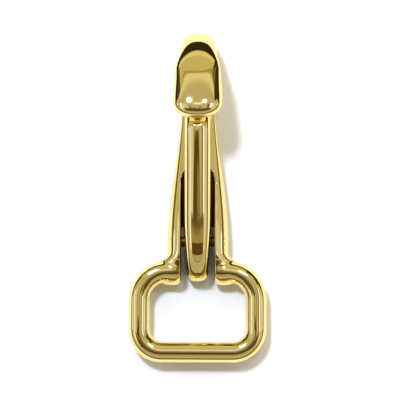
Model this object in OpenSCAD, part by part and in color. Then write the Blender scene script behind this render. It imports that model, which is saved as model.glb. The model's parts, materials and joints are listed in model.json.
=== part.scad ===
// Snap hook with a fixed strap eye and a sprung gate lever, lying on its back.
// Y runs along the hook: the eye is at -Y, the crown of the hook at +Y.
// Z is up, towards the nose. The origin is under the middle of the hook.

/* [Eye] */
// Clear width of the eye, which takes the strap
eye_clear_w = 25; // [20:0.5:32]
// Clear height of the eye
eye_clear_h = 15.4; // [11:0.2:20]
// Diameter of the round bar that the eye is bent from
bar_d = 5.6; // [4.5:0.1:6.5]
// Inner radius of the two lower corners of the eye
eye_low_r = 3.3; // [2:0.1:5]
// Inner radius of the two upper corners of the eye
eye_top_r = 4.6; // [2:0.1:5]

/* [Shank] */
// Length from the shoulder of the eye to the far side of the crown
shank_len = 60.7; // [56:0.5:72]
// Width of the shank at its neck
neck_w = 9.2; // [8:0.1:11]
// Thickness of the shank at its neck
neck_t = 4.1; // [3.6:0.1:5]
// Width across the two cheeks
cheek_w = 16; // [15:0.1:19]
// Height of the cheeks over the back
cheek_h = 7.4; // [6.8:0.1:8.4]
// Radius of the sweep from the cheek out to the shoulder of the eye
shoulder_r = 2.6; // [2:0.1:4]
// How far the cheeks reach past the eye's upper bar into the eye
lip_drop = 0.7; // [0.4:0.1:1.2]

/* [Hook] */
// Gap of the throat between the neck and the nose
throat_h = 7.4; // [6.6:0.1:9]
// Thickness of the hook at the crown
crown_t = 7.2; // [6:0.1:8.5]
// Length of the nose, from the far side of the crown to its tip
nose_reach = 23; // [20:0.2:26]
// Width of the nose at its widest
nose_w = 12.9; // [11.5:0.1:14.5]
// Thickness of the nose where its rounded end begins
nose_t = 5.2; // [4.6:0.1:6.5]
// Length of the rounded end of the nose
nose_end = 4.6; // [3.6:0.1:5.5]
// Length of the rounded corner where the back turns up into the crown
heel_len = 6.5; // [5:0.1:8]
// Height of the far point of the crown over the back
crown_h = 3.9; // [3.5:0.1:5.4]

/* [Slot] */
// Width of the slot between the cheeks
slot_w = 8.8; // [8.2:0.1:9.6]
// Distance from the shoulder of the eye up to the closed end of the slot
slot_rise = 25; // [22:0.2:28]
// Thickness of the web behind the closed end of the slot
web_t = 1.6; // [1.2:0.1:1.8]
// Distance from the shoulder of the eye up to the lower edge of that web
web_rise = 9.2; // [8.8:0.1:11]
// Radius of the two corners at the open end of the slot
slot_corner_r = 1.6; // [1:0.1:2.2]

/* [Gate] */
// Width of the gate lever
gate_w = 6.7; // [6.2:0.1:7]
// Width of the gate lever at its foot
gate_foot_w = 5.5; // [5.3:0.1:6]
// Thickness of the gate lever above the slot
gate_t = 2.5; // [2.2:0.1:2.7]
// How far the tip of the gate reaches under the nose
gate_lap = 4; // [3:0.1:5]
// Gap between the closed gate and the nose
gate_gap = 0.12; // [0.08:0.01:0.3]
// Height of the front of the gate over the back at the pivot
gate_pivot_h = 9; // [8.6:0.1:9.6]
// Thickness of the front wall of the gate over its hollow
gate_roof_t = 1.5; // [1.2:0.1:1.7]
// Width of the hollow in the back of the gate
hollow_w = 3.7; // [3.4:0.1:3.9]

/* [Pivot] */
// Diameter of the pivot pin
pin_d = 2.5; // [2:0.1:2.8]
// Distance from the shoulder of the eye up to the pivot pin
pin_rise = 5; // [4.6:0.1:5.4]
// Height of the pivot pin over the back
pin_h = 4.1; // [3.9:0.1:4.4]
// Radial clearance of the gate on the pin
pin_clear = 0.05; // [0.02:0.01:0.1]

/* [Spring] */
// Wire diameter of the torsion spring
wire_d = 0.7; // [0.5:0.05:0.8]
// Number of turns of the torsion spring
spring_turns = 3; // [2:1:4]
// Radial clearance of the coil round the pin
coil_clear = 0.25; // [0.15:0.05:0.4]
// Length of the spring leg that lies on the web of the slot
still_leg = 12; // [10:0.5:14]
// Length of the spring leg that lifts the gate
gate_leg = 12; // [10:0.5:14]

/* [Hidden] */
$fn = 48;

// Overall sizes and the places along Y
bar_r = bar_d / 2;
eye_h = eye_clear_h + 2 * bar_d;
eye_w = eye_clear_w + 2 * bar_d;
total_len = eye_h + shank_len;
y_end = -total_len / 2;
y_shoulder = y_end + eye_h;
y_crown = total_len / 2;
y_lip = y_shoulder - bar_d - lip_drop;
y_tip = y_crown - nose_reach;
y_apex = y_tip + nose_end;
y_pin = y_shoulder + pin_rise;
y_slot = y_shoulder + slot_rise;
y_web = y_shoulder + web_rise;

// Heights
z_under = neck_t + throat_h;
z_apex = z_under + nose_t;
z_throat = neck_t + throat_h / 2;
y_throat = y_crown - crown_t - throat_h / 2;
y_ridge = y_tip - 5.6;
ridge_h = (z_apex - crown_h) / quarter((y_apex - y_ridge) / (y_crown - y_ridge));

// Shape constants of the cast body
ring_pts = 28;
shank_steps = 22;
lip_steps = 7;
bend_steps = 14;
nose_steps = 5;
end_steps = 8;
taper_len = 33;
crest_drop = 10.5;
waist_share = 0.56;
nose_waist = 0.16;
back_power = 2.7;
dome_power = 2.1;
flank_power = 1.35;
nose_end_power = 3.3;
blunt = 0.06;

// Eases from 0 at f = 0 to 1 at f = 1, steeper at the start than a smooth step
function unit(f) = min(1, max(0, f));
function ease(f) = let(u = unit(f)) (sin(90 * u) + u * u * (3 - 2 * u)) / 2;
function mix(a, b, f) = a + (b - a) * f;
function quarter(f) = sqrt(max(0, 1 - f * f));
function power_arc(v, p) = sign(v) * pow(abs(v), 2 / p);

// One section of the cast body: q = [y, z] of its widest line, the angle of its outer
// side, half width, height of its outer side and of its inner side over the widest line,
// and the powers of the two sides
function section(q, angle, w, outer_h, inner_h, outer_p, inner_p) =
    [for (i = [0 : ring_pts - 1])
        let(t = 360 * i / ring_pts, outer = sin(t) >= 0)
        let(p = outer ? outer_p : inner_p, h = outer ? outer_h : inner_h)
        let(x = w * power_arc(cos(t), p), d = h * power_arc(sin(t), p))
        [x, q[0] + d * cos(angle), q[1] + d * sin(angle)]];

// Skin over a row of rings that all have the same number of points
module skin(rings) {
    n = len(rings[0]);
    m = len(rings);
    points = [for (r = rings) for (p = r) p];
    low_cap = [[for (i = [0 : n - 1]) i]];
    high_cap = [[for (i = [n - 1 : -1 : 0]) (m - 1) * n + i]];
    sides = [for (k = [0 : m - 2]) for (i = [0 : n - 1])
        let(a = k * n + i, b = k * n + (i + 1) % n, c = b + n, d = a + n)
        each [[a, d, c], [a, c, b]]];
    polyhedron(points, concat(low_cap, sides, high_cap), convexity = 8);
}

// Half width of the shank and cheeks at y
function sweep_out(y) =
    shoulder_r * (1 - quarter(min(0.97, unit((y_shoulder + shoulder_r - y) / shoulder_r))));
function taper(y) = ease((y_tip - y) / taper_len);
function shank_half_w(y) = mix(neck_w, cheek_w, taper(y)) / 2 + sweep_out(y);

// Height of the widest line and of the front of the shank at y
function waist_z(y) = mix(waist_share * neck_t, bar_r, taper(y));
y_crest = y_lip + crest_drop;
function front_rise(y) = mix(neck_t, cheek_h, ease((y_tip - y) / (y_tip - y_crest)));
function lip_fall(y) = quarter(max(0, (y_crest - y) / crest_drop));
function front_z(y) = waist_z(y) + (front_rise(y) - waist_z(y)) * lip_fall(y);

function shank_ring(y) =
    let(z = waist_z(y), low = quarter(max(0, (y_lip + bar_r - y) / bar_r)))
    let(power = mix(dome_power, flank_power, unit(sweep_out(y) / shoulder_r)))
    section([y, z], -90, shank_half_w(y), z * low, front_z(y) - z, back_power, power);

// Outer line of the hook seen from the side: the flat back, a quarter ellipse up to the
// crown and a larger one from there over the nose, still rising where the nose ends
function ray_ellipse(p, dir, c, a, b) =
    let(u = (p[0] - c[0]) / a, v = (p[1] - c[1]) / b, s = dir[0] / a, t = dir[1] / b)
    let(qa = s * s + t * t, qb = u * s + v * t, qc = u * u + v * v - 1)
    (-qb + sqrt(qb * qb - qa * qc)) / qa;
function outer_reach(dir) =
    let(p = [y_throat, z_throat], y_corner = y_crown - heel_len)
    let(up = ray_ellipse(p, dir, [y_ridge, crown_h], y_crown - y_ridge, ridge_h))
    let(flat = dir[1] < 0 ? -z_throat / dir[1] : total_len)
    z_throat + up * dir[1] >= crown_h ? up
        : y_throat + flat * dir[0] <= y_corner ? flat
        : ray_ellipse(p, dir, [y_corner, crown_h], heel_len, crown_h);
function hook_top(y) = crown_h + ridge_h * quarter((y - y_ridge) / (y_crown - y_ridge));

// Progress from the crown to the widest part of the nose, from 0 to 1
bend_share = 0.57;
function nose_half_w(f) = mix(neck_w, nose_w, ease(f)) / 2;
function outer_share(f) = mix(waist_share, 1 - nose_waist, ease(f));

function bend_ring(angle) =
    let(dir = [cos(angle), sin(angle)], r0 = throat_h / 2, r1 = outer_reach(dir))
    let(f = bend_share * angle / 90, t = r1 - r0, inner_h = t * (1 - outer_share(f)))
    let(q = [y_throat, z_throat] + dir * (r0 + inner_h))
    section(q, angle, nose_half_w(f), t - inner_h, inner_h,
        mix(back_power, dome_power, unit(angle / 90 + 1)), dome_power);

function nose_ring(y) =
    let(f = mix(bend_share, 1, (y_throat - y) / (y_throat - y_apex)))
    let(t = hook_top(y) - z_under, inner_h = t * (1 - outer_share(f)))
    section([y, z_under + inner_h], 90, nose_half_w(f), t - inner_h, inner_h,
        dome_power, dome_power);

function tip_ring(f) =
    let(y = y_apex - nose_end * f, inner_h = nose_t * nose_waist, z = z_under + inner_h)
    let(share = pow(1 - pow(f, nose_end_power), 1 / nose_end_power))
    section([y, z], 90, nose_w / 2 * share, (hook_top(y) - z) * share,
        inner_h * share, dome_power, dome_power);

// Rings from the lip of the cheeks, up the shank, round the crown and along the nose
body_rings = concat(
    [for (i = [0 : lip_steps]) shank_ring(y_lip + crest_drop * (1 - cos(90 * (i + blunt) / lip_steps)))],
    [for (i = [1 : shank_steps]) shank_ring(mix(y_crest, y_throat, (i + blunt) / (shank_steps + 2 * blunt)))],
    [for (i = [0 : bend_steps]) bend_ring(-90 + 180 * i / bend_steps)],
    [for (i = [1 : nose_steps]) nose_ring(mix(y_throat, y_apex, i / nose_steps))],
    [for (i = [1 : end_steps]) tip_ring(sin(90 * (i - blunt) / end_steps))]);

// One quarter bend of the eye's bar, from the +X end round to the +Y end
module bar_corner(r) {
    rotate_extrude(angle = 90) translate([r, 0]) circle(r = bar_r);
}

module bar_run(from, to) {
    length = norm(to - from);
    turn = atan2(to[1] - from[1], to[0] - from[0]);
    translate(from) rotate([0, 90, turn]) cylinder(r = bar_r, h = length);
}

module eye() {
    x = eye_clear_w / 2 + bar_r;
    low = y_end + bar_r;
    high = y_shoulder - bar_r;
    r_low = eye_low_r + bar_r;
    r_top = eye_top_r + bar_r;
    translate([0, 0, bar_r]) {
        bar_run([r_low - x, low, 0], [x - r_low, low, 0]);
        bar_run([r_top - x, high, 0], [x - r_top, high, 0]);
        for (side = [0, 1]) mirror([side, 0, 0]) {
            bar_run([x, low + r_low, 0], [x, high - r_top, 0]);
            translate([x - r_top, high - r_top, 0]) bar_corner(r_top);
            translate([x - r_low, low + r_low, 0]) rotate(-90) bar_corner(r_low);
        }
    }
}

// Outline of the slot from above, closed by a round end and flared at its open end
module slot_outline(y_low, y_high) {
    r = slot_w / 2;
    translate([0, y_high - r]) circle(r = r);
    translate([-r, y_low]) square([slot_w, y_high - r - y_low]);
}

module slot_flare() {
    r = slot_corner_r;
    w = slot_w / 2 + r;
    difference() {
        translate([-w, y_lip - r]) square([2 * w, 2 * r]);
        for (side = [-1, 1]) translate([side * w, y_lip + r]) circle(r = r);
    }
}

module slot() {
    high = z_apex + 1;
    translate([0, 0, web_t]) linear_extrude(high) slot_outline(y_web - 1, y_slot);
    translate([0, 0, -1]) linear_extrude(high) {
        translate([-slot_w / 2, y_lip - bar_r]) square([slot_w, y_web - y_lip + bar_r]);
        slot_flare();
    }
}

// A round bar across the hook on the line of the pivot
module pivot_line(r, half_len) {
    translate([-half_len, y_pin, pin_h]) rotate([0, 90, 0]) cylinder(r = r, h = 2 * half_len);
}

// The casting: eye, cheeks, shank, crown and nose in one piece
module hook_body() {
    color("#d4af4a") difference() {
        union() {
            skin(body_rings);
            eye();
        }
        slot();
        pivot_line(pin_d / 2, eye_w);
    }
}

// Places on the gate lever
y_rise_end = y_tip - 4.2;
dip_run = 6;
gate_dip = 1.4;
y_gate_tip = y_tip + gate_lap;
y_foot = y_lip + 0.9;
foot_len = 10;
z_foot = 2.6;
z_gate_low = 1.2;
y_knee = y_pin + 1.5;
y_thin = y_knee + 15;
gate_ring_pts = 24;
gate_cap_h = 2.6;
gate_cap_power = 2.1;
gate_side_power = 7;
foot_steps = 9;
gate_steps = 16;
tip_steps = 5;
narrow_len = 9;

// Front line of the gate: a slope from the pivot up towards the nose, then a dip under it
function dip(y) = let(u = unit((y - y_rise_end) / dip_run)) gate_dip * u * u * (3 - 2 * u);
gate_slope = (z_under - gate_gap + dip(y_tip) - gate_pivot_h) / (y_tip - y_pin);
function gate_front(y) = gate_pivot_h + gate_slope * (y - y_pin) - dip(y);
y_heel = y_foot + foot_len;
function gate_top(y) =
    y >= y_heel ? gate_front(y)
        : z_foot + (gate_front(y) - z_foot) * quarter((y_heel - y) / foot_len);
function gate_back(y) =
    let(thin = gate_front(max(y, y_thin)) - gate_t)
    let(low = z_foot - (z_foot - z_gate_low) * quarter(max(0, (y_foot + 2 - y) / 2)))
    mix(low, thin, unit((y - y_knee) / (y_thin - y_knee)));
function gate_half_w(y) =
    let(foot = mix(gate_foot_w, gate_w, unit((y - y_foot - 2) / narrow_len)) / 2)
    let(f = unit((y - y_gate_tip + gate_w / 2) / (gate_w / 2)))
    foot * pow(1 - pow(f, 2.6), 1 / 2.6) * pow(quarter(max(0, (y_foot + 1.6 - y) / 1.6)), 0.7);

function gate_ring(y) =
    let(top = gate_top(y), back = gate_back(y), w = gate_half_w(y))
    let(cap = min(gate_cap_h, (top - back) * 0.92), z = top - cap)
    [for (i = [0 : gate_ring_pts - 1])
        let(t = 360 * i / gate_ring_pts, up = sin(t) >= 0)
        let(p = up ? gate_cap_power : gate_side_power, h = up ? cap : z - back)
        [-w * power_arc(cos(t), p), y, z + h * power_arc(sin(t), p)]];

gate_rings = concat(
    [for (i = [0 : foot_steps - 1]) gate_ring(y_foot + foot_len * (1 - cos(90 * (i + 3 * blunt) / foot_steps)))],
    [for (i = [0 : gate_steps]) gate_ring(mix(y_heel, y_gate_tip - gate_w / 2, i / gate_steps))],
    [for (i = [1 : tip_steps]) gate_ring(y_gate_tip - gate_w / 2 * (1 - sin(90 * (i - blunt) / tip_steps)))]);

// Side view of the hollow in the back of the gate, as wide along X as the hollow
hollow_end = y_thin - 1;
module hollow() {
    a = foot_len - gate_roof_t;
    outline = concat(
        [[y_heel - a, z_foot - 4], [hollow_end, z_foot - 4]],
        [[hollow_end, gate_front(hollow_end) - gate_roof_t]],
        [for (i = [0 : 8]) let(y = y_heel - a * sin(90 * i / 8))
            [y, z_foot + (gate_front(y) - gate_roof_t - z_foot) * cos(90 * i / 8)]]);
    translate([-hollow_w / 2, 0, 0]) rotate([90, 0, 90]) linear_extrude(hollow_w) polygon(outline);
}

// The gate lever, hollow behind its front wall where it holds the spring
module gate_lever() {
    color("#dcb850") difference() {
        skin(gate_rings);
        hollow();
        pivot_line(pin_d / 2 + pin_clear, gate_w);
    }
}

// The pin, riveted into the cheeks and dressed flush with their flanks
module pivot_pin() {
    color("#c9a445") intersection() {
        pivot_line(pin_d / 2, eye_w);
        skin(body_rings);
    }
}

// Centre line of the spring: a leg on the web, the coil and a leg under the gate's front
coil_r = pin_d / 2 + coil_clear + wire_d / 2;
pitch = wire_d + 0.05;
coil_steps = 16;
wire_sides = 8;
leg_gap = 0.05;
still_z = web_t + wire_d / 2 + leg_gap;
lift_z = gate_front(y_pin + gate_leg) - gate_roof_t - wire_d / 2 - leg_gap;
start_angle = 270 + asin((pin_h - coil_r - still_z) / still_leg);
coil_turn = spring_turns * 360 + 180;
function coil_point(f) =
    let(a = mix(start_angle, start_angle - coil_turn, f))
    [pitch * (f - 0.5) * coil_turn / 360, y_pin + coil_r * cos(a), pin_h + coil_r * sin(a)];

module torsion_spring() {
    coil_count = round(coil_steps * coil_turn / 360);
    coil = [for (i = [0 : coil_count]) coil_point(i / coil_count)];
    first = coil[0];
    last = coil[coil_count];
    path = concat(
        [[first[0], y_pin + still_leg, still_z], [first[0], y_pin + still_leg / 2, mix(still_z, first[2], 0.5)]],
        coil,
        [[last[0], y_pin + gate_leg / 2, mix(lift_z, last[2], 0.5)], [last[0], y_pin + gate_leg, lift_z]]);
    color("#9aa0a6") skin(wire_rings(path));
}

// Rings of the wire, square to its path, with X as the side direction of every ring
function wire_rings(path) =
    [for (k = [0 : len(path) - 1])
        let(a = path[max(0, k - 1)], b = path[min(len(path) - 1, k + 1)])
        let(along = (b - a) / norm(b - a), up = cross(along, [1, 0, 0]), u = up / norm(up))
        let(side = cross(u, along))
        [for (i = [0 : wire_sides - 1])
            let(t = 360 * i / wire_sides)
            path[k] + wire_d / 2 * (side * cos(t) + u * sin(t))]];

hook_body();
gate_lever();
pivot_pin();
torsion_spring();
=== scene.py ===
"""Dresses the snap hook: polished gold surfaces, a white table and the light of a room."""
import json
import math

import bpy
import numpy as np
from mathutils import Matrix, Vector


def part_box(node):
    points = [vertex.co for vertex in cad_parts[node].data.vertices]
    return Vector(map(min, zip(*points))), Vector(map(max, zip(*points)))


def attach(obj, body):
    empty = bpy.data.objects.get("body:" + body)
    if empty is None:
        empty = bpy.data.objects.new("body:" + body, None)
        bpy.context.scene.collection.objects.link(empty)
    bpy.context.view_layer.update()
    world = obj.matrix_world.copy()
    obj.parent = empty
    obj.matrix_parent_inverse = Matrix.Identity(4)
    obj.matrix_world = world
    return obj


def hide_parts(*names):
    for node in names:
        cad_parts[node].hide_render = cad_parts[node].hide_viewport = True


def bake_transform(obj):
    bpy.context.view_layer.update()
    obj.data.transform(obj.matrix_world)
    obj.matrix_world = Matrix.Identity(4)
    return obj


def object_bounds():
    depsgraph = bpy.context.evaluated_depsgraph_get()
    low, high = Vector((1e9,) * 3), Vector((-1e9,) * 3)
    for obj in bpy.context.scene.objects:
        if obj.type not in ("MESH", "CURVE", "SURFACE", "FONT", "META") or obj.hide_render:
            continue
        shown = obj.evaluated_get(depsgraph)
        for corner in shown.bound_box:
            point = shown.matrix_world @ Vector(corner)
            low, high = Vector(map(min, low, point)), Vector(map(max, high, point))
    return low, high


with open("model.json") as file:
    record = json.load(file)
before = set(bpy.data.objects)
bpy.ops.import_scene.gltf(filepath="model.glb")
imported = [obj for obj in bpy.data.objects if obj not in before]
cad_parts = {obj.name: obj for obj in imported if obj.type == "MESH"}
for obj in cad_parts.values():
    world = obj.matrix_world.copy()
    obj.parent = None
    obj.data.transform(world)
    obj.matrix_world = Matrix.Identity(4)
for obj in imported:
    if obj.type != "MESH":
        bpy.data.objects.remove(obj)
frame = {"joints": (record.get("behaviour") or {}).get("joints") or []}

bl_info = {
    "name": "Snap Hook",
    "version": (1, 0, 0),
    "blender": (4, 5, 0),
    "location": "View3D > Sidebar > Snap Hook",
    "description": "Makes the polished surfaces of a snap hook and the table it lies on",
    "category": "Object",
}

MM = 0.001
CAD_BOX = [list(corner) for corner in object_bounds()]
PIVOT = [j for j in frame["joints"] if j["name"] == "gate_pivot"][0]["pos_m"]


def length(label, words, millimetres):
    """A length property, given in millimetres and kept in metres."""
    return bpy.props.FloatProperty(
        name=label, description=words, default=millimetres * MM, unit="LENGTH", precision=5)


def number(label, words, value):
    """A plain number property."""
    return bpy.props.FloatProperty(name=label, description=words, default=value)


def colour(label, words, value):
    """A colour property."""
    return bpy.props.FloatVectorProperty(
        name=label, description=words, default=value, subtype="COLOR", size=3, min=0, max=4)


def degrees(label, words, value):
    """An angle property, given in degrees and kept in radians."""
    return bpy.props.FloatProperty(
        name=label, description=words, default=math.radians(value), subtype="ANGLE")


class CastingSizes(bpy.types.PropertyGroup):
    """Sizes of the casting: eye, cheeks, shank, crown and nose."""

    eye_clear_w: length("Eye width", "Clear width of the eye, which takes the strap", 25)
    eye_clear_h: length("Eye height", "Clear height of the eye", 15.4)
    bar_d: length("Bar", "Diameter of the round bar of the eye", 5.6)
    eye_low_r: length("Lower corner", "Inner radius of the lower corners of the eye", 3.3)
    eye_top_r: length("Upper corner", "Inner radius of the upper corners of the eye", 4.6)
    shank_len: length("Shank length", "From the shoulder to the far side of the crown", 60.7)
    neck_w: length("Neck width", "Width of the shank at its neck", 9.2)
    neck_t: length("Neck thickness", "Thickness of the shank at its neck", 4.1)
    cheek_w: length("Cheek width", "Width across the two cheeks", 16)
    cheek_h: length("Cheek height", "Height of the cheeks over the back", 7.4)
    shoulder_r: length("Shoulder sweep", "Radius of the sweep from cheek to shoulder", 2.6)
    lip_drop: length("Lip", "How far the cheeks reach past the upper bar into the eye", 0.7)
    throat_h: length("Throat", "Gap between the neck and the nose", 7.4)
    crown_t: length("Crown thickness", "Thickness of the hook at the crown", 7.2)
    nose_reach: length("Nose reach", "From the crown's far side to the tip, less the overhang", 23)
    nose_w: length("Nose width", "Width of the nose at its widest", 12.9)
    nose_t: length("Nose thickness", "Thickness of the nose near its tip", 5.2)
    nose_end: length("Nose end", "Length of the rounded end of the nose, from the side", 5.6)
    nose_corner: length("Nose corner", "Length of the nose's rounded end, from above", 4.5)
    nose_over: length("Nose overhang", "How much further the nose reaches over the gate", 1.45)
    heel_len: length("Back corner", "Length of the corner from the back to the crown", 6.5)
    crown_h: length("Crown height", "Height of the far point of the crown", 3.9)
    slot_w: length("Slot width", "Width of the slot between the cheeks", 8.8)
    slot_rise: length("Slot rise", "From the shoulder to the closed end of the slot", 25)
    web_t: length("Web", "Thickness of the web behind the slot", 1.6)
    web_rise: length("Web rise", "From the shoulder to the lower edge of the web", 9.2)
    slot_corner_r: length("Slot mouth", "Radius of the corners at the slot's open end", 1.6)
    slot_edge_r: length("Slot edge", "Radius of the polished edges of the slot", 0.55)
    crease_r: length("Crease", "Radius of the crease where the eye meets the cheeks", 0.9)


class GateSizes(bpy.types.PropertyGroup):
    """Sizes of the gate lever, its pin and its spring."""

    gate_w: length("Gate width", "Width of the gate lever", 6.7)
    gate_foot_w: length("Foot width", "Width of the gate lever at its foot", 5.5)
    gate_t: length("Gate thickness", "Thickness of the lever above the slot", 2.5)
    gate_lap: length("Gate lap", "How far the gate reaches under the nose, less the overhang", 4)
    gate_gap: length("Gate gap", "Gap between the closed gate and the nose", 0.12)
    gate_pivot_h: length("Gate height", "Height of the gate's front at the pivot", 9)
    gate_cap_h: length("Gate arch", "Height of the arch of the gate's front", 2.3)
    gate_roof_t: length("Gate wall", "Thickness of the gate's front wall", 1.5)
    hollow_w: length("Gate hollow", "Width of the hollow in the gate's back", 3.7)
    pin_d: length("Pin", "Diameter of the pivot pin", 2.5)
    pin_clear: length("Pin clearance", "Radial clearance of the gate on the pin", 0.05)
    wire_d: length("Wire", "Wire diameter of the torsion spring", 0.7)
    spring_turns: number("Turns", "Number of turns of the torsion spring", 3)
    coil_clear: length("Coil clearance", "Radial clearance of the coil round the pin", 0.25)
    leg: length("Spring legs", "Length of the two legs of the spring", 12)


class FinishSettings(bpy.types.PropertyGroup):
    """Colours and polish of the metals, and the colour of the painted shade in the slot."""

    gold: colour("Gold", "Colour of the gold plating", (0.94, 0.765, 0.33))
    steel: colour("Steel", "Colour of the spring wire", (0.56, 0.55, 0.53))
    # Painted shade: this dark colour goes on the slot's walls, floor and pin and on the gate's deep
    # flanks, in place of the shade in the narrow gaps.
    dull: colour("Dull metal", "Colour of the unpolished metal in the slot", (0.10, 0.045, 0.015))
    polish: number("Polish", "Roughness of the polished gold", 0.045)
    wave: length("Polish waves", "Depth of the soft waves that polishing leaves", 0.004)


class StageSettings(bpy.types.PropertyGroup):
    """Camera, table and light."""

    camera_far: length("Camera distance", "Distance of the camera from the hook", 460)
    view_width: length("View width", "Width of the picture at the hook", 105.3)
    tilt_south: degrees("Tilt", "Lean of the camera towards the eye's end", 6.1)
    tilt_east: degrees("Side tilt", "Lean of the camera to the right", 1.5)
    roll: degrees("Roll", "Turn of the camera about its line of sight", 0.25)
    aim_x: length("Aim X", "Point that the camera looks at, along X", 0.53)
    aim_y: length("Aim Y", "Point that the camera looks at, along Y", -0.93)
    floor: colour("Table", "Colour of the table", (1.0, 1.0, 1.0))
    ambient: colour("Ambient", "Light of the whole room on the table", (0.64, 0.585, 0.445))
    key_watts: number("Key", "Power of the lamp that casts the shadow", 20.5)


def unit(f):
    """Clips to the range from 0 to 1."""
    return np.clip(f, 0, 1)


def mix(a, b, f):
    """Straight blend from a to b."""
    return a + (b - a) * f


def ease(f):
    """Mean of a quarter sine and a smooth step, from 0 at f = 0 to 1 at f = 1."""
    u = unit(f)
    return (np.sin(u * math.pi / 2) + u * u * (3 - 2 * u)) / 2


def smooth_step(f):
    """3 f^2 - 2 f^3 between 0 and 1."""
    u = unit(f)
    return u * u * (3 - 2 * u)


def quarter(f):
    """Height of a quarter circle at f: sqrt(1 - f^2)."""
    return np.sqrt(np.maximum(0, 1 - f * f))


def power_norm(a, b, p):
    """(|a|^p + |b|^p)^(1/p), the gauge of a superellipse."""
    return (np.abs(a) ** p + np.abs(b) ** p) ** (1 / p)


def round_and(a, b, r):
    """Intersection of two distance fields with an edge of radius r."""
    return np.hypot(np.maximum(a + r, 0), np.maximum(b + r, 0)) + np.minimum(np.maximum(a, b), -r)


def soft_or(a, b, r):
    """Union of two distance fields with a soft fillet of about radius r."""
    h = np.maximum(r - np.abs(a - b), 0) / r
    return np.minimum(a, b) - h * h * h * r / 6


def gradient(field, points, step=0.01):
    """Central differences of a field at the points, one row per point."""
    rows = np.empty_like(points)
    for axis in range(3):
        shift = np.zeros(3)
        shift[axis] = step
        rows[:, axis] = (field(points + shift) - field(points - shift)) / (2 * step)
    return rows


def distance(field, points):
    """Turns a gauge into a distance near its surface: the gauge over its own slope."""
    slope = np.linalg.norm(gradient(field, points), axis=1)
    return field(points) / np.maximum(slope, 1e-6)


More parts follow.
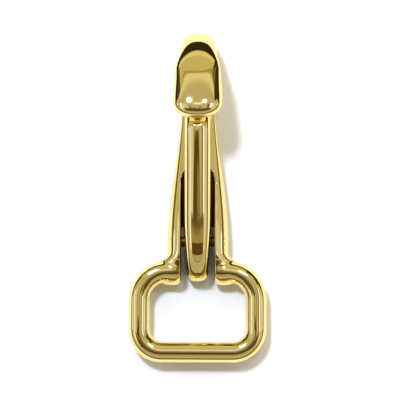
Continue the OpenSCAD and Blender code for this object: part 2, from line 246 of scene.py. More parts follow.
class Shape:
    """The hook's derived sizes in millimetres, and its surfaces as fields: each field is
    negative inside the metal, zero on its surface and positive outside."""

    taper_len = 33
    crest_drop = 10.5
    crest_lean = 0.7
    waist_share = 0.56
    nose_share = 0.60
    root_share = 0.27
    back_power = 2.7
    dome_power = 2.1
    flank_power = 1.35
    nose_corner_power = 2.3
    nose_top_power = 2.7
    bend_share = 0.57
    root_fade = 0.48
    ridge_run = 30
    nose_margin = 2
    lip_r = 2.2
    mouth_run = 3
    slot_floor_r = 0.4
    foot_gap = 0.9
    foot_len = 10
    knee_run = 1.5
    thin_run = 15
    z_foot = 2.6
    z_gate_low = 1.2
    gate_dip = 1.4
    dip_lead = 4.2
    dip_run = 6
    gate_cap_power = 2.1
    foot_share = 0.2
    foot_power = 2.5
    gate_tip_power = 2.6
    narrow_len = 16
    arc_stop = 0.97
    gate_edge_r = 0.3
    hollow_edge_r = 0.2

    def __init__(self, scene):
        """Reads both groups of sizes and works out the places along Y and Z."""
        for group in (scene.casting_sizes, scene.gate_sizes):
            for name in group.__annotations__:
                value = getattr(group, name)
                setattr(self, name, value if name == "spring_turns" else value / MM)
        self.y_end = CAD_BOX[0][1] / MM
        self.y_crown = CAD_BOX[1][1] / MM
        self.y_shoulder = self.y_end + self.eye_clear_h + 2 * self.bar_d
        self.y_lip = self.y_shoulder - self.bar_d - self.lip_drop
        self.bar_r = self.bar_d / 2
        self.y_tip = self.y_shoulder + self.shank_len - self.nose_reach
        self.y_apex = self.y_tip + self.nose_t / 2
        self.y_nose = self.y_tip - self.nose_over
        self.y_ridge = self.y_tip - self.ridge_run
        self.y_slot = self.y_shoulder + self.slot_rise
        self.y_web = self.y_shoulder + self.web_rise
        self.y_crest = self.y_lip + self.crest_drop
        self.z_under = self.neck_t + self.throat_h
        apex_rise = self.z_under + self.nose_t - self.crown_h
        self.ridge_h = apex_rise / quarter((self.y_apex - self.y_ridge) / (self.y_crown - self.y_ridge))
        self.z_throat = self.neck_t + self.throat_h / 2
        self.y_throat = self.y_crown - self.crown_t - self.throat_h / 2
        self.y_pin = PIVOT[1] / MM
        self.z_pin = PIVOT[2] / MM
        self.y_gate_tip = self.y_tip + self.gate_lap
        self.y_foot = self.y_lip + self.foot_gap
        self.y_heel = self.y_foot + self.foot_len
        self.y_knee = self.y_pin + self.knee_run
        self.y_thin = self.y_knee + self.thin_run
        self.y_rise_end = self.y_tip - self.dip_lead
        self.gate_slope = (
            self.z_under - self.gate_gap + self.dip(self.y_tip) - self.gate_pivot_h
        ) / (self.y_tip - self.y_pin)

    def taper(self, y):
        """Progress of the shank's taper from the neck, 0, to the cheeks, 1."""
        return ease((self.y_tip - y) / self.taper_len)

    def sweep_out(self, y):
        """Extra half width of the cheeks where they sweep out to the shoulder, on an arc."""
        f = unit((self.y_shoulder + self.shoulder_r - y) / self.shoulder_r)
        return self.shoulder_r * (1 - quarter(np.minimum(self.arc_stop, f)))

    def outer_reach(self, cos, sin):
        """Distance from the throat's centre to the hook's outer line, which is the flat back,
        a quarter ellipse up to the crown and a larger one from there over the nose."""
        def ray(c_y, c_z, a, b):
            u, v, s, t = (self.y_throat - c_y) / a, (self.z_throat - c_z) / b, cos / a, sin / b
            square, cross, rest = s * s + t * t, u * s + v * t, u * u + v * v - 1
            return (-cross + np.sqrt(np.maximum(0, cross ** 2 - square * rest))) / square

        y_corner = self.y_crown - self.heel_len
        up = ray(self.y_ridge, self.crown_h, self.y_crown - self.y_ridge, self.ridge_h)
        low = ray(y_corner, self.crown_h, self.heel_len, self.crown_h)
        flat = self.z_throat / np.maximum(1e-3, -sin)
        turned = np.where(self.y_throat + flat * cos <= y_corner, flat, low)
        return np.where(self.z_throat + up * sin >= self.crown_h, up, turned)

    def shank(self, p):
        """Gauge of the shank and cheeks: a superellipse in every plane across Y, whose half
        width, widest line and front height are eased along Y and fall off at the lip."""
        x, y, z = np.abs(p[:, 0]), p[:, 1], p[:, 2]
        taper = self.taper(y)
        sweep = self.sweep_out(y)
        w = mix(self.neck_w, self.cheek_w, taper) / 2 + sweep
        waist = mix(self.waist_share * self.neck_t, self.bar_r, taper)
        rise = mix(self.neck_t, self.cheek_h, ease((self.y_tip - y) / (self.y_tip - self.y_crest)))
        lean = self.crest_lean * np.maximum(0, x - self.slot_w / 2)
        fall = quarter(np.clip((self.y_crest - y - lean) / self.crest_drop, 0, self.arc_stop))
        v = np.where(z > waist, (z - waist) / ((rise - waist) * fall), (waist - z) / waist)
        flank = mix(self.dome_power, self.flank_power, unit(sweep / self.shoulder_r))
        return power_norm(x / w, v, np.where(z > waist, flank, self.back_power)) - 1

    def bend(self, p):
        """Gauge of the bend: the same superellipse in planes that turn about the throat."""
        dy, dz = p[:, 1] - self.y_throat, p[:, 2] - self.z_throat
        r = np.maximum(np.hypot(dy, dz), 1e-3)
        angle = np.arctan2(dz, dy)
        f = self.bend_share * angle / (math.pi / 2)
        inner_r = self.throat_h / 2
        thick = self.outer_reach(dy / r, dz / r) - inner_r
        inner = thick * (1 - self.outer_share(f))
        waist = inner_r + inner
        v = np.where(r > waist, (r - waist) / (thick - inner), (waist - r) / inner)
        outer_power = mix(self.back_power, self.dome_power, unit(angle / (math.pi / 2) + 1))
        power = np.where(r > waist, outer_power, self.dome_power)
        return power_norm(p[:, 0] / self.nose_half_w(f), v, power) - 1

    def nose(self, p):
        """Gauge of the nose: the same superellipse in planes across Y, closed at the tip by a
        superellipse along Y, which is longer at the top than at the sides."""
        y, z = p[:, 1], p[:, 2]
        forward = unit((self.y_throat - y) / (self.y_throat - self.y_apex))
        f = mix(self.bend_share, 1, forward)
        top = self.crown_h + self.ridge_h * quarter((y - self.y_ridge) / (self.y_crown - self.y_ridge))
        thick = top - self.z_under
        inner = thick * (1 - self.outer_share(f))
        waist = self.z_under + inner
        v = np.where(z > waist, (z - waist) / (thick - inner), (waist - z) / inner)
        across = p[:, 0] / self.nose_half_w(f)
        turn = v * v / np.maximum(v * v + across * across, 1e-6)
        reach = mix(self.nose_corner, self.nose_end, turn)
        end = np.maximum(0, self.y_nose + reach - y) / reach
        power = mix(self.nose_corner_power, self.nose_top_power, turn)
        return power_norm(power_norm(across, v, self.dome_power), end, power) - 1

    def nose_half_w(self, f):
        """Half width from the crown, f = 0, to the widest part of the nose, f = 1."""
        return mix(self.neck_w, self.nose_w, ease(f)) / 2

    def outer_share(self, f):
        """Share of the thickness that lies outside the widest line: largest at the nose's root."""
        return mix(self.waist_share, self.nose_share, ease(f)) + self.root_share * self.root(f)

    def root(self, f):
        """1 at the nose's root, where it leaves the crown, and 0 at the neck and the tip."""
        past = (f - self.bend_share) / self.root_fade
        return smooth_step(f / self.bend_share) * (1 - smooth_step(past))

    def bar(self, p):
        """Gauge of shank, bend and nose as one bar: each place asks the stretch it is in."""
        value = np.empty(len(p))
        behind = p[:, 1] >= self.y_throat
        above = (p[:, 2] > self.z_throat) & (p[:, 1] > self.y_tip - self.nose_margin) & ~behind
        rest = ~behind & ~above
        for part, field in ((behind, self.bend), (above, self.nose), (rest, self.shank)):
            value[part] = field(p[part])
        return value

    def eye(self, p):
        """Distance to the eye: a round bar along a rectangle with rounded corners."""
        half_x = (self.eye_clear_w + self.bar_d) / 2
        half_y = (self.eye_clear_h + self.bar_d) / 2
        middle = self.y_end + self.bar_r + half_y
        y = p[:, 1] - middle
        r = np.where(y > 0, self.eye_top_r, self.eye_low_r) + self.bar_r
        qx, qy = np.abs(p[:, 0]) - half_x + r, np.abs(y) - half_y + r
        flat = np.hypot(np.maximum(qx, 0), np.maximum(qy, 0)) + np.minimum(np.maximum(qx, qy), 0) - r
        return np.hypot(flat, p[:, 2] - self.bar_r) - self.bar_r

    def slot(self, p):
        """Distance to the slot: a channel with a round closed end over the web, open right
        through below the web."""
        x, y, z = np.abs(p[:, 0]), p[:, 1], p[:, 2]
        r = self.slot_w / 2
        plan = np.where(y > self.y_slot - r, np.hypot(x, y - self.y_slot + r), x) - r
        channel = round_and(plan, self.web_t - z, self.slot_floor_r)
        through = round_and(x - r, y - self.y_web, self.slot_floor_r)
        return np.maximum(np.minimum(channel, through), self.y_lip - self.bar_r - y)

    def casting(self, p):
        """The casting: the bar, cut off at the lip, joined to the eye and cut by the slot."""
        y = p[:, 1]
        bar = round_and(distance(self.bar, p), self.y_lip - y, self.lip_r)
        body = soft_or(bar, self.eye(p), self.crease_r)
        mouth = smooth_step((self.y_lip + self.mouth_run - y) / self.mouth_run)
        return round_and(body, -self.slot(p), mix(self.slot_edge_r, self.slot_corner_r, mouth))

    def dip(self, y):
        """How far the gate's front bends down to pass under the nose, on a smooth step."""
        return self.gate_dip * smooth_step((y - self.y_rise_end) / self.dip_run)

    def gate_front(self, y):
        """Height of the gate's front along its middle."""
        return self.gate_pivot_h + self.gate_slope * (y - self.y_pin) - self.dip(y)

    def gate_profile(self, p):
        """Gauge of the gate from the side: its front line, rounded off at the foot by a quarter
        ellipse."""
        y, z = p[:, 1], p[:, 2]
        v = np.maximum(0, z - self.z_foot) / (self.gate_front(y) - self.z_foot)
        end = np.maximum(0, self.y_heel - y) / self.foot_len
        return np.hypot(v, end) - 1

    def gate_plan(self, p):
        """Gauge of the gate from above: its half width, rounded off at the tip."""
        y = p[:, 1]
        w = mix(self.gate_foot_w, self.gate_w, smooth_step((y - self.y_foot) / self.narrow_len)) / 2
        end = np.maximum(0, y - self.y_gate_tip + self.gate_w / 2) / (self.gate_w / 2)
        return power_norm(p[:, 0] / w, end, self.gate_tip_power) - 1

    def gate_shell(self, p):
        """Gauge of the gate's outside: its outline from above below an arched front. Towards
        the foot the arch gets shorter and squarer, so that the foot ends in a blunt U."""
        y, z = p[:, 1], p[:, 2]
        rise = self.gate_front(y) - self.z_foot
        up = np.maximum(0, z - self.z_foot) / rise
        end = np.maximum(0, self.y_heel - y) / self.foot_len
        foot = end ** 2 / np.maximum(end ** 2 + up ** 2, 1e-6)
        share = mix(self.gate_cap_h / rise, self.foot_share, foot)
        power = mix(self.gate_cap_power, self.foot_power, foot)
        arch = np.maximum(0, self.gate_profile(p) + share) / share
        return power_norm(self.gate_plan(p) + 1, arch, power) - 1

    def gate_back(self, y):
        """Height of the gate's back: low at the foot, then up to the thin part of the lever."""
        thin = self.gate_front(np.maximum(y, self.y_thin)) - self.gate_t
        return mix(self.z_gate_low, thin, unit((y - self.y_knee) / (self.y_thin - self.y_knee)))

    def gate(self, p):
        """The gate lever: its outside over its back, less the hollow and the pin's bore."""
        x, y, z = np.abs(p[:, 0]), p[:, 1], p[:, 2]
        front = distance(self.gate_profile, p)
        body = round_and(distance(self.gate_shell, p), self.gate_back(y) - z, self.gate_edge_r)
        hollow = np.maximum(np.maximum(x - self.hollow_w / 2, front + self.gate_roof_t),
                            y - self.y_thin + 1)
        body = round_and(body, -hollow, self.hollow_edge_r)
        bore = self.pin_d / 2 + self.pin_clear - np.hypot(y - self.y_pin, z - self.z_pin)
        return np.maximum(body, bore)


def surface_net(field, low, high, cell):
    """Mesh of a field's zero surface. The field is sampled on a grid; each cell that the
    surface crosses gets one point, the mean of the crossings on its edges, and each grid edge
    that the surface crosses gets one four-sided face. The points are then moved onto the
    surface by Newton steps. Returns points, faces and the field's slopes as normals."""
    axes = [np.arange(low[i] - 1.5 * cell, high[i] + 2.5 * cell, cell) for i in range(3)]
    grid = np.stack(np.meshgrid(*axes, indexing="ij"), axis=-1)
    value = field(grid.reshape(-1, 3)).reshape(grid.shape[:3])
    inside = value < 0
    cells = tuple(n - 1 for n in value.shape)
    corners = [(i, j, k) for i in (0, 1) for j in (0, 1) for k in (0, 1)]

    def corner(array, c):
        return array[c[0]:c[0] + cells[0], c[1]:c[1] + cells[1], c[2]:c[2] + cells[2]]

    filled = sum(corner(inside, c).astype(int) for c in corners)
    active = (filled > 0) & (filled < 8)
    number_of = np.full(cells, -1)
    number_of[active] = np.arange(active.sum())
    total = np.zeros((active.sum(), 3))
    count = np.zeros(active.sum())
    for a in corners:
        for axis in range(3):
            if a[axis]:
                continue
            b = tuple(c + (i == axis) for i, c in enumerate(a))
            va, vb = corner(value, a)[active], corner(value, b)[active]
            crossed = (va < 0) != (vb < 0)
            t = np.where(crossed, va / np.where(crossed, va - vb, 1), 0)
            place = np.array(a)[None] + np.eye(3)[axis] * t[:, None]
            total += place * crossed[:, None]
            count += crossed
    origin = np.array([axis[0] for axis in axes])
    points = origin + cell * (np.argwhere(active) + total / count[:, None])

    faces = []
    for axis in range(3):
        u, v = (axis + 1) % 3, (axis + 2) % 3
        here = [slice(1, n - 1) for n in value.shape]
        here[axis] = slice(0, value.shape[axis] - 1)
        there = list(here)
        there[axis] = slice(1, value.shape[axis])
        start, stop = inside[tuple(here)], inside[tuple(there)]
        one_u, one_v = np.eye(3, dtype=int)[[u, v]]
        base = np.argwhere(start != stop)
        quads = np.column_stack([number_of[tuple((base + shift).T)]
                                 for shift in (0, one_u, one_u + one_v, one_v)])
        outward = start[start != stop]
        quads[~outward] = quads[~outward][:, ::-1]
        faces.append(quads)

    for _ in range(4):
        slope = gradient(field, points)
        square = np.maximum((slope ** 2).sum(axis=1), 1e-6)
        step = slope * (field(points) / square)[:, None]
        points -= np.clip(step, -cell / 2, cell / 2)
    normals = gradient(field, points)
    normals /= np.maximum(np.linalg.norm(normals, axis=1), 1e-9)[:, None]
    return points, np.concatenate(faces), normals


def make_mesh(name, points, faces, material, normals=None):
    """A mesh object from arrays in millimetres, smooth, with its own normals if given."""
    mesh = bpy.data.meshes.new(name)
    mesh.vertices.add(len(points))
    mesh.vertices.foreach_set("co", (points * MM).astype(np.float32).ravel())
    mesh.loops.add(faces.size)
    mesh.loops.foreach_set("vertex_index", faces.astype(np.int32).ravel())
    mesh.polygons.add(len(faces))
    mesh.polygons.foreach_set("loop_start", np.arange(0, faces.size, faces.shape[1], dtype=np.int32))
    mesh.update(calc_edges=True)
    mesh.validate()
    mesh.shade_smooth()
    if normals is not None and len(mesh.vertices) == len(normals):
        mesh.normals_split_custom_set_from_vertices([tuple(n) for n in normals])
    mesh.materials.append(material)
    piece = bpy.data.objects.new(name, mesh)
    bpy.context.scene.collection.objects.link(piece)
    return piece


def split_quads(*corners):
    """Two triangles for each four-sided face, whose corners are given as four arrays."""
    quads = np.stack(corners, axis=-1).reshape(-1, 4)
    return np.concatenate([quads[:, [0, 1, 2]], quads[:, [0, 2, 3]]])


def ring_pairs(rows, sides):
    """Numbers of the points on rows of rings, and of the point after each on its ring."""
    k, i = np.meshgrid(np.arange(rows), np.arange(sides), indexing="ij")
    return k * sides + i, k * sides + (i + 1) % sides


def tube(path, radius, sides, side_axis):
    """Closed round tube along a path: rings square to the path, fan caps at both ends.
    The rings start from side_axis made square to the path. Returns points and faces."""
    along = np.gradient(path, axis=0)
    along /= np.linalg.norm(along, axis=1)[:, None]
    up = np.cross(along, side_axis)
    up /= np.linalg.norm(up, axis=1)[:, None]
    side = np.cross(up, along)
    t = np.linspace(0, 2 * math.pi, sides, endpoint=False)
    ring = side[:, None] * np.cos(t)[None, :, None] + up[:, None] * np.sin(t)[None, :, None]
    round_off = 0.35 * radius
    small, past = (radius - round_off) * ring, round_off * along[:, None]
    middle = path[:, None]
    rings = np.concatenate([middle[:1] - past[:1] + small[:1], middle + radius * ring,
                            middle[-1:] + past[-1:] + small[-1:]])
    n = len(rings)
    points = np.concatenate([rings.reshape(-1, 3), rings[0].mean(0)[None], rings[-1].mean(0)[None]])
    a, b = ring_pairs(n - 1, sides)
    i, j = (row[0] for row in ring_pairs(1, sides))
    last = (n - 1) * sides
    low = np.column_stack([j, i, np.full(sides, n * sides)])
    high = np.column_stack([i + last, j + last, np.full(sides, n * sides + 1)])
    return points, np.concatenate([split_quads(a, b, b + sides, a + sides), low, high])


class Nodes:
    """Short ways to add nodes to a shader tree. Limits of within and ramp count its unit."""

    def __init__(self, tree, unit=1.0):
        """Keeps the tree's nodes and links."""
        self.nodes, self.links, self.unit = tree.nodes, tree.links, unit

    def give(self, node, inputs):
        """Gives each named input of a node a socket to read or a value of its own."""
        for name, value in inputs.items():
            if isinstance(value, bpy.types.NodeSocket):
                self.links.new(value, node.inputs[name])
            else:
                node.inputs[name].default_value = value

    def add(self, kind, inputs, **settings):
        """Adds a node of a kind, with its settings and its inputs."""
        node = self.nodes.new("ShaderNode" + kind)
        for name, value in settings.items():
            setattr(node, name, value)
        self.give(node, inputs)
        return node

    def place(self, space="Object"):
        """The coordinates in a space."""
        return self.add("TexCoord", {}).outputs[space]

    def axes(self, space="Object"):
        """The coordinates in a space, as x, y and z."""
        return self.add("SeparateXYZ", {"Vector": self.place(space)}).outputs

    def math(self, operation, *values):
        """A Math node over sockets and plain numbers; returns its output."""
        return self.add("Math", dict(enumerate(values)), operation=operation).outputs[0]

    def product(self, first, *others):
        """The first value times all the others."""
        for other in others:
            first = self.math("MULTIPLY", first, other)
        return first

    def ramp(self, value, low, high, start=0.0, stop=1.0):
        """A smooth step from start, up to low, to stop, from high on."""
        limits = {"Value": value, "From Min": low * self.unit, "From Max": high * self.unit,
                  "To Min": start, "To Max": stop}
        return self.add("MapRange", limits, interpolation_type="SMOOTHSTEP").outputs["Result"]

    def within(self, value, low, high, soft):
        """1 between low and high, and 0 outside, over a smooth edge of half width soft."""
        middle, half = (low + high) / 2, (high - low) / 2
        off = self.math("ABSOLUTE", self.math("SUBTRACT", value, middle * self.unit))
        return self.ramp(off, half - soft, half + soft, 1.0, 0.0)

    def over(self, below, mask, tint, label=""):
        """Lays a colour over another where the mask is 1."""
        colours = {0: mask, 6: below, 7: (*tint, 1)}
        return self.add("Mix", colours, data_type="RGBA", label=label).outputs[2]


def shader_group(name, inputs, outputs, fill):
    """The node group of this name. The first call makes it, with numbers in and out: fill
    gets its nodes and input sockets, and returns one socket for each output."""
    group = bpy.data.node_groups.get(name)
    if group is None:
        group = bpy.data.node_groups.new(name, "ShaderNodeTree")
        for label, value in inputs.items():
            socket = group.interface.new_socket(label, in_out="INPUT", socket_type="NodeSocketFloat")
            socket.default_value = value
        for label in outputs:
            group.interface.new_socket(label, in_out="OUTPUT", socket_type="NodeSocketFloat")
        given = group.nodes.new("NodeGroupInput").outputs
        result = group.nodes.new("NodeGroupOutput").inputs
        for label, socket in zip(outputs, fill(Nodes(group, MM), given)):
            group.links.new(socket, result[label])
    return group


def polish_group():
    """Node group with the marks of polishing: soft waves, and hairlines in the gloss."""
    def fill(tree, given):
        place = tree.place()
        wave = tree.add("TexNoise", {"Vector": place, "Scale": given["Wave Size"], "Detail": 1.0})
        stretch = tree.add("Mapping", {"Vector": place, "Scale": (1.0, 0.12, 1.0),
                                       "Rotation": (0.0, 0.0, 0.35)})
        hair = tree.add("TexNoise", {"Vector": stretch.outputs["Vector"],
                                     "Scale": given["Hairline Size"], "Detail": 3.0})
        spread = tree.add("MapRange", {"Value": hair.outputs["Fac"], "From Min": 0.35,
                                       "From Max": 0.75, "To Min": 0.75, "To Max": 1.5})
        gloss = tree.product(given["Roughness"], spread.outputs["Result"])
        return gloss, wave.outputs["Fac"]

    inputs = {"Roughness": 0.05, "Wave Size": 160.0, "Hairline Size": 900.0}
    return shader_group("Polish Marks", inputs, ("Roughness", "Height"), fill)


def under_line(tree, y, z, slope, height):
    """How far a place lies under a line over Y, given by its slope and height at Y = 0."""
    return tree.math("SUBTRACT", tree.math("MULTIPLY_ADD", y, slope, height * MM), z)


def slot_shade_mask(shape):
    """Node group with the mask of painted shade: 1 on the walls and floor of the slot and on the
    pin in it, where the gap lies in shade, and 0 on the polished outside."""
    soft, into_wall, below_front, above_lip, end_soft = 0.12, 0.2, 0.7, 1.2, 0.4
    floor_low, floor_high = 0.3, 0.8

    def fill(tree, given):
        x, y, z = tree.axes()
        half = shape.slot_w / 2 + into_wall
        rise = (shape.cheek_h - shape.neck_t) / (shape.y_tip - shape.y_crest)
        front = shape.cheek_h - below_front + rise * shape.y_crest
        return [tree.product(
            tree.within(x, -half, half, soft),
            tree.within(y, shape.y_lip + above_lip, shape.y_slot, end_soft),
            tree.ramp(under_line(tree, y, z, -rise, front), -soft, 4 * soft),
            tree.ramp(z, floor_low, floor_high))]

    return shader_group("Slot Inside", {}, ["Inside"], fill)


def flank_shade_mask(shape):
    """Node group with the mask of painted shade: 1 on the gate's deep flanks and back, which lie
    in the shaded gaps of the slot, and 0 on its arched front, its foot and its thin end."""
    below_arch, fade, past_foot, past_heel, end_soft = 1.2, 0.8, 2.4, 12, 1.2

    def fill(tree, given):
        _, y, z = tree.axes()
        front = shape.gate_pivot_h - shape.gate_slope * shape.y_pin
        start = shape.gate_cap_h + below_arch
        return [tree.product(
            tree.ramp(under_line(tree, y, z, shape.gate_slope, front), start, start + fade),
            tree.within(y, shape.y_foot + past_foot, shape.y_heel + past_heel, end_soft))]

    return shader_group("Gate Flank", {}, ["Inside"], fill)


def new_material(name, unit=1.0):
    """A new material, and short ways to its nodes."""
    material = bpy.data.materials.new(name)
    material.use_nodes = True
    return material, Nodes(material.node_tree, unit)


def metal(name, base, roughness, wave_depth, wave_size, hairline_size, dull=None, mask=None):
    """Polished metal: plain colour, with the polish marks in its roughness and bump. With a
    mask, the places where it is 1 are unpolished and rough, and take a dark colour that is painted
    shade."""
    dull_roughness = 0.5
    material, tree = new_material(name)
    shader = tree.nodes["Principled BSDF"]
    marks = tree.add("Group", {"Roughness": roughness, "Wave Size": wave_size,
                               "Hairline Size": hairline_size}, node_tree=polish_group()).outputs
    bump = tree.add("Bump", {"Distance": wave_depth, "Strength": 1.0, "Height": marks["Height"]})
    tree.give(shader, {"Base Color": (*base, 1), "Metallic": 1.0, "Roughness": marks["Roughness"],
                       "Normal": bump.outputs["Normal"]})
    if mask is not None:
        # Painted shade: where the mask is 1 the base colour turns dark and the gloss turns rough.
        inside = tree.add("Group", {}, node_tree=mask).outputs["Inside"]
        rough = tree.add("Mix", {0: inside, 2: marks["Roughness"], 3: dull_roughness}).outputs[0]
        tree.give(shader, {"Base Color": tree.over((*base, 1), inside, dull), "Roughness": rough})
    material.diffuse_color = (*base, 1)
    return material


def plating(piece_name, scene, mask, wave_size, hairline_size):
    """The gold plating of a piece: polished, and unpolished with painted shade where the mask is 1."""
    finish = scene.finish_settings
    return metal("Polished Gold " + piece_name, finish.gold, finish.polish, finish.wave,
                 wave_size, hairline_size, finish.dull, mask)


def field_mesh(name, field, box, material, cell):
    """A piece whose surface is the zero of a field, worked out inside the box of its solid."""
    low, high = (np.array(corner) / MM for corner in box)
    points, faces, normals = surface_net(field, low, high, cell)
    return make_mesh(name, points, faces, material, normals)


class OBJECT_OT_hook_casting(bpy.types.Operator):
    """Make the casting: eye, cheeks, shank, crown and nose in one polished piece"""

    bl_idname = "snap_hook.casting"
    bl_label = "Casting"

    def execute(self, context):
        shape = Shape(context.scene)
        # Painted shade: the slot's walls and floor take the dark colour.
        gold = plating("Casting", context.scene, slot_shade_mask(shape), wave_size=150, hairline_size=900)
        piece = field_mesh("casting", shape.casting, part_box("hook_body"), gold, cell=0.34)
        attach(piece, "casting")
        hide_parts("hook_body")
        return {"FINISHED"}


class OBJECT_OT_hook_gate(bpy.types.Operator):
    """Make the gate lever with its hollow back"""

    bl_idname = "snap_hook.gate"
    bl_label = "Gate"

    def execute(self, context):
        shape = Shape(context.scene)
        # Painted shade: the gate's deep flanks and back take the dark colour.
        gold = plating("Gate", context.scene, flank_shade_mask(shape), wave_size=120, hairline_size=1100)
        piece = field_mesh("gate", shape.gate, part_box("gate_lever"), gold, cell=0.22)
        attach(piece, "gate")
        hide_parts("gate_lever")
        return {"FINISHED"}


class OBJECT_OT_hook_pin(bpy.types.Operator):
    """Make the pivot pin, with ends that follow the flanks of the cheeks"""

    bl_idname = "snap_hook.pin"
    bl_label = "Pin"

    def execute(self, context):
        shape = Shape(context.scene)
        points, faces = self.surface(shape)
        # Painted shade: the pin's middle, inside the slot, takes the dark colour.
        gold = plating("Pin", context.scene, slot_shade_mask(shape), wave_size=150, hairline_size=1500)
        piece = make_mesh("pin", points, faces, gold)
        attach(piece, "casting")
        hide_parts("pivot_pin")
        return {"FINISHED"}

    def surface(self, shape, sides=48, rings=8, proud=0.03, sunk=0.12, step=0.01):
        """Polar grid over each end: the end's X is the flank's X at that Y and Z, found by
        Newton steps, plus a small proud height, and its rim is sunk a little into the flank.
        The last ring joins the two ends."""
        r = shape.pin_d / 2 * np.sin(np.linspace(0, math.pi / 2, rings + 1))[1:]
        t = np.linspace(0, 2 * math.pi, sides, endpoint=False)
        rim = np.where(np.arange(rings) == rings - 1, -sunk, proud)
        y = np.append(shape.y_pin, (shape.y_pin + r[:, None] * np.cos(t)).ravel())
        z = np.append(shape.z_pin, (shape.z_pin + r[:, None] * np.sin(t)).ravel())
        height = np.append(proud, np.repeat(rim, sides))
        x = np.full(len(y), shape.cheek_w / 2)
        for _ in range(12):
            p = np.column_stack([x, y, z])
            slope = (shape.bar(p + [step, 0, 0]) - shape.bar(p - [step, 0, 0])) / (2 * step)
            x -= np.clip(shape.bar(p) / np.maximum(slope, 1e-3), -0.5, 0.5)
        x += height
        right = np.column_stack([x, y, z])
        left = right * [-1, 1, 1]
        count = len(right)
        a, b = (1 + rows for rows in ring_pairs(rings, sides))
        fan = np.column_stack([np.zeros(sides, int), a[0], b[0]])
        near, far = a[:-1], b[:-1]
        cap = np.concatenate([fan, split_quads(near, near + sides, far + sides, far)])
        wall = split_quads(a[-1], a[-1] + count, b[-1] + count, b[-1])
        return np.concatenate([right, left]), np.concatenate([cap, cap[:, ::-1] + count, wall])


class OBJECT_OT_hook_spring(bpy.types.Operator):
    """Make the torsion spring: a coil round the pin with two legs"""

    bl_idname = "snap_hook.spring"
    bl_label = "Spring"

    def execute(self, context):
        shape = Shape(context.scene)
        finish = context.scene.finish_settings
        path = self.path(shape)
        points, faces = tube(path, shape.wire_d / 2, sides=16, side_axis=np.array([1.0, 0, 0]))
        steel = metal("Spring Wire", finish.steel, roughness=0.22, wave_depth=finish.wave / 4,
                      wave_size=400, hairline_size=2500)
        piece = make_mesh("spring", points, faces, steel)
        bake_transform(piece)
        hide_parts("torsion_spring")
        return {"FINISHED"}

    def path(self, shape):
        """Centre line: a leg on the web, a helix about the pin whose X grows with its angle,
        and a leg under the gate's front. Each leg leaves the helix along its tangent."""
        coil_r = shape.pin_d / 2 + shape.coil_clear + shape.wire_d / 2
        clear = 0.05
        pitch = shape.wire_d + clear
        touch = shape.wire_d / 2 + clear
        still_z = shape.web_t + touch
        lift_z = shape.gate_front(shape.y_pin + shape.leg) - shape.gate_roof_t - touch
        start = math.radians(270) + math.asin((shape.z_pin - coil_r - still_z) / shape.leg)
        turn = math.radians(shape.spring_turns * 360 + 180)
        f = np.linspace(0, 1, 48 * int(shape.spring_turns) + 24)
        angle = start - turn * f
        x = pitch * (f - 0.5) * turn / (2 * math.pi)
        coil = np.column_stack([x, shape.y_pin + coil_r * np.cos(angle),
                                shape.z_pin + coil_r * np.sin(angle)])
        t = np.linspace(0, 1, 14)[:, None]
        first = np.array([coil[0, 0], shape.y_pin + shape.leg, still_z])
        last = np.array([coil[-1, 0], shape.y_pin + shape.leg, lift_z])
        return np.concatenate([mix(first, coil[0], t)[:-1], coil, mix(coil[-1], last, t)[1:]])


def area_light(name, east, north, height, size, watts, tint):
    """Round area light that looks at the origin, from a place on the ceiling given as east and
    north over height."""
    data = bpy.data.lights.new(name, "AREA")
    data.shape = "DISK"
    data.size = size
    data.energy = watts
    data.color = tint
    lamp = bpy.data.objects.new(name, data)
    place = Vector((east, north, 1.0)) * height
    lamp.location = place
    lamp.rotation_euler = (-place).to_track_quat("-Z", "Y").to_euler()
    bpy.context.scene.collection.objects.link(lamp)


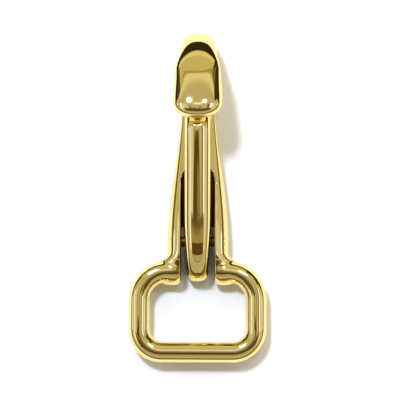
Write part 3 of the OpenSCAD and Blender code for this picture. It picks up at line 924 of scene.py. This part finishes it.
class Room(Nodes):
    """The colours of a room round the hook, as soft-edged panels laid one over the other. Wall
    panels lie between two bearings, from north (+Y) to east (+X), and two elevations, all in
    degrees; ceiling panels between two easts and two norths, each over the height."""

    base = (0.44, 0.40, 0.30)
    walls = (
        ("south wall", (-181, 181), (19, 44), 0.8, (0.50, 0.47, 0.38)),
        ("south line", (-181, 181), (45, 48), 0.8, (0.34, 0.31, 0.22)),
        ("low shelves", (-181, 181), (5, 18), 0.8, (0.13, 0.10, 0.04)),
        ("west wall", (-125, -62), (17, 50), 0.8, (0.64, 0.60, 0.42)),
        ("east wall", (60, 125), (15, 50), 0.8, (0.60, 0.54, 0.38)),
        ("west door", (-90, -81), (16, 25), 1.0, (1.04, 1.2, 1.8)),
        ("east door", (81, 90), (16, 25), 1.0, (1.0, 1.15, 1.7)),
        ("north floor", (-68, 68), (-10, 19), 0.8, (0.035, 0.025, 0.01)),
        ("northwest door", (-64, -48), (15, 33), 0.8, (0.10, 0.07, 0.03)),
        ("northeast door", (31, 60), (15, 38), 0.8, (0.05, 0.035, 0.01)),
        ("northeast panel", (42, 47), (20, 36), 0.8, (0.19, 0.16, 0.10)),
        ("north wall", (-48, 31), (19, 41), 0.8, (0.60, 0.545, 0.285)),
        ("north wall foot", (-46, 30), (19, 25), 1.5, (0.78, 0.71, 0.45)),
    )
    ceiling = (
        ("ceiling", (-2.2, 1.25), (-0.1, 1.22), 0.03, (0.53, 0.495, 0.355)),
        ("ceiling edge", (-2.2, 1.2), (1.02, 1.22), 0.10, (0.80, 0.76, 0.56)),
        ("ceiling line", (-2.3, 1.3), (1.20, 1.26), 0.02, (0.36, 0.31, 0.12)),
        ("lamp panel", (-0.16, 0.16), (0.30, 0.44), 0.06, (0.98, 1.12, 1.6)),
        ("key glow", (-0.46, -0.22), (0.48, 0.74), 0.11, (1.0, 1.08, 1.3)),
        ("fill glow", (0.18, 0.38), (0.44, 0.64), 0.09, (0.98, 1.05, 1.25)),
        ("west window", (-1.35, -1.02), (-0.45, 0.40), 0.03, (1.06, 1.28, 2.1)),
        ("west blind", (-0.98, -0.50), (-0.5, 0.35), 0.03, (0.76, 0.72, 0.60)),
        ("west beam", (-0.34, -0.27), (-0.40, 0.10), 0.02, (0.22, 0.17, 0.06)),
        ("east beam", (0.06, 0.13), (-0.40, 0.10), 0.02, (0.22, 0.17, 0.06)),
        ("east lintel", (0.46, 0.58), (-0.5, 0.30), 0.02, (0.12, 0.08, 0.02)),
        ("east window", (0.66, 0.98), (-0.45, 0.40), 0.03, (1.04, 1.2, 1.9)),
        ("east blind", (1.04, 1.6), (-0.5, 0.35), 0.03, (0.76, 0.72, 0.60)),
    )

    def __init__(self, tree):
        """Reads the direction of the ray."""
        super().__init__(tree)
        self.x, self.y, self.z = self.axes("Generated")

    def colour(self):
        """The room's colour in the direction of the ray."""
        bearing = self.product(self.math("ARCTAN2", self.x, self.y), math.degrees(1))
        elevation = self.product(self.math("ARCSINE", self.z), math.degrees(1))
        height = self.math("MAXIMUM", self.z, 0.1)
        east = self.math("DIVIDE", self.x, height)
        north = self.math("DIVIDE", self.y, height)
        result = (*self.base, 1)
        for panels, across, along in ((self.walls, bearing, elevation),
                                      (self.ceiling, east, north)):
            for label, sides, ends, soft, tint in panels:
                mask = self.product(self.within(across, *sides, soft), self.within(along, *ends, soft))
                result = self.over(result, mask, tint, label)
        return result


class OBJECT_OT_hook_stage(bpy.types.Operator):
    """Make the white table, the room's light and the camera"""

    bl_idname = "snap_hook.stage"
    bl_label = "Stage"

    def execute(self, context):
        settings = context.scene.stage_settings
        self.table(settings)
        self.room(context.scene, settings)
        self.card()
        self.lamps(settings)
        self.camera(context.scene, settings)
        context.scene.view_settings.view_transform = "Standard"
        return {"FINISHED"}

    def table(self, settings):
        """A flat square table top, centred under the hook."""
        half = 3000.0
        points = np.array([[-half, -half, 0], [half, -half, 0], [half, half, 0], [-half, half, 0]])
        material, tree = new_material("White Table")
        tree.give(tree.nodes["Principled BSDF"], {
            "Base Color": (*settings.floor, 1), "Roughness": 0.9, "Specular IOR Level": 0.0})
        table = make_mesh("table", points, np.array([[0, 1, 2, 3]]), material)

    def room(self, scene, settings):
        """The room as a world: its panels for what the gold reflects, one plain colour for what
        lights the table, stronger from the north and weak from straight above, and white where
        the camera looks past the table."""
        world = bpy.data.worlds.new("Room")
        scene.world = world
        world.use_nodes = True
        room = Room(world.node_tree)
        seen = room.nodes["Background"]
        room.give(seen, {"Color": room.colour()})
        low_level, high_level, north_gain = 2.6, 0.1, 0.7
        high = room.ramp(room.z, 0.50, 0.75)
        level = room.math("MULTIPLY_ADD", high, high_level - low_level, low_level)
        level = room.product(level, room.math("MULTIPLY_ADD", room.y, north_gain, 1.0))
        path = room.add("LightPath", {}).outputs
        last = seen.outputs[0]
        for ray, light in (("Is Diffuse Ray", {"Color": (*settings.ambient, 1), "Strength": level}),
                           ("Is Camera Ray", {"Color": (1, 1, 1, 1)})):
            plain = room.add("Background", light)
            last = room.add("MixShader", {0: path[ray], 1: last, 2: plain.outputs[0]}).outputs[0]
        room.give(room.nodes["World Output"], {"Surface": last})

    def card(self):
        """A dark card high over the hook, a rectangle with an arch on its north edge, and two
        brown zones on it. Only the gold shows it."""
        height, edge = 480.0, -60.0
        arch_x, arch_w, arch_h = -45, 165, 48
        west, east, south = -400, 430, -300
        turn = np.linspace(0, math.pi, 25)
        arch = np.column_stack([arch_x + arch_w * np.cos(turn), edge + arch_h * np.sin(turn)])
        sheet = np.array([(west, edge), (west, south), (east, south), (east, edge)])
        outline = np.concatenate([arch, sheet])[::-1]
        points = np.column_stack([outline, np.full(len(outline), height)])
        material, tree = new_material("Dark Card", MM)
        x, y, _ = tree.axes()
        shade = (0.10, 0.065, 0.02, 1)
        for sides, ends, tint in (((-20, 170), (-62, -32), (0.28, 0.21, 0.11)),
                                  ((-440, 440), (-95, -68), (0.37, 0.28, 0.16))):
            mask = tree.product(tree.within(x, *sides, 8), tree.within(y, *ends, 5))
            shade = tree.over(shade, mask, tint)
        glow = tree.add("Emission", {"Color": shade})
        tree.give(tree.nodes["Material Output"], {"Surface": glow.outputs[0]})
        card = make_mesh("card", points, np.array([range(len(points))]), material)
        card.visible_camera = False
        card.visible_diffuse = False
        card.visible_shadow = False

    def lamps(self, settings):
        """The key lamp from the upper left, which casts the shadow, and a weaker one opposite."""
        ceiling, fill_share = 1.2, 0.10
        area_light("key", -0.35, 0.61, ceiling, size=0.26, watts=settings.key_watts,
                   tint=(0.63, 0.70, 0.86))
        area_light("fill", 0.28, 0.54, ceiling, size=0.22, watts=fill_share * settings.key_watts,
                   tint=(0.75, 0.85, 1.0))

    def camera(self, scene, settings):
        """A long lens over the hook, leaning a little towards the eye's end and the right."""
        data = bpy.data.cameras.new("camera")
        data.sensor_width = 36.0
        data.lens = data.sensor_width * settings.camera_far / settings.view_width
        data.clip_end = 20.0
        camera = bpy.data.objects.new("camera", data)
        aim = Vector((settings.aim_x, settings.aim_y, 0.003))
        lean = Vector((math.tan(settings.tilt_east), -math.tan(settings.tilt_south), 1.0)).normalized()
        camera.location = aim + lean * settings.camera_far
        side = Vector((0, 1, 0)).cross(lean).normalized()
        turn = Matrix((side, lean.cross(side), lean)).transposed()
        roll = Matrix.Rotation(settings.roll, 3, "Z")
        camera.rotation_euler = (turn @ roll).to_euler()
        scene.collection.objects.link(camera)
        scene.camera = camera


class VIEW3D_PT_snap_hook(bpy.types.Panel):
    """Lists the steps that make the hook, and its settings"""

    bl_label = "Snap Hook"
    bl_idname = "VIEW3D_PT_snap_hook"
    bl_space_type = "VIEW_3D"
    bl_region_type = "UI"
    bl_category = "Snap Hook"

    def draw(self, context):
        layout = self.layout
        for step in STEPS:
            layout.operator(step.bl_idname)
        for name in GROUPS:
            box = layout.box()
            box.label(text=name.split("_")[0].title())
            group = getattr(context.scene, name)
            for setting in group.__annotations__:
                box.prop(group, setting)


GROUPS = {"casting_sizes": CastingSizes, "gate_sizes": GateSizes,
          "finish_settings": FinishSettings, "stage_settings": StageSettings}
STEPS = (OBJECT_OT_hook_casting, OBJECT_OT_hook_gate, OBJECT_OT_hook_pin,
         OBJECT_OT_hook_spring, OBJECT_OT_hook_stage)
CLASSES = (*GROUPS.values(), *STEPS, VIEW3D_PT_snap_hook)


def register():
    """Registers the classes and hangs the settings on the scene."""
    for kind in CLASSES:
        bpy.utils.register_class(kind)
    for name, group in GROUPS.items():
        setattr(bpy.types.Scene, name, bpy.props.PointerProperty(type=group))


def unregister():
    """Takes the classes and the settings away again."""
    for name in GROUPS:
        delattr(bpy.types.Scene, name)
    for kind in reversed(CLASSES):
        bpy.utils.unregister_class(kind)


def main():
    """Makes every piece and the stage."""
    register()
    bpy.ops.snap_hook.casting()
    bpy.ops.snap_hook.gate()
    bpy.ops.snap_hook.pin()
    bpy.ops.snap_hook.spring()
    bpy.ops.snap_hook.stage()


if __name__ == "__main__":
    main()
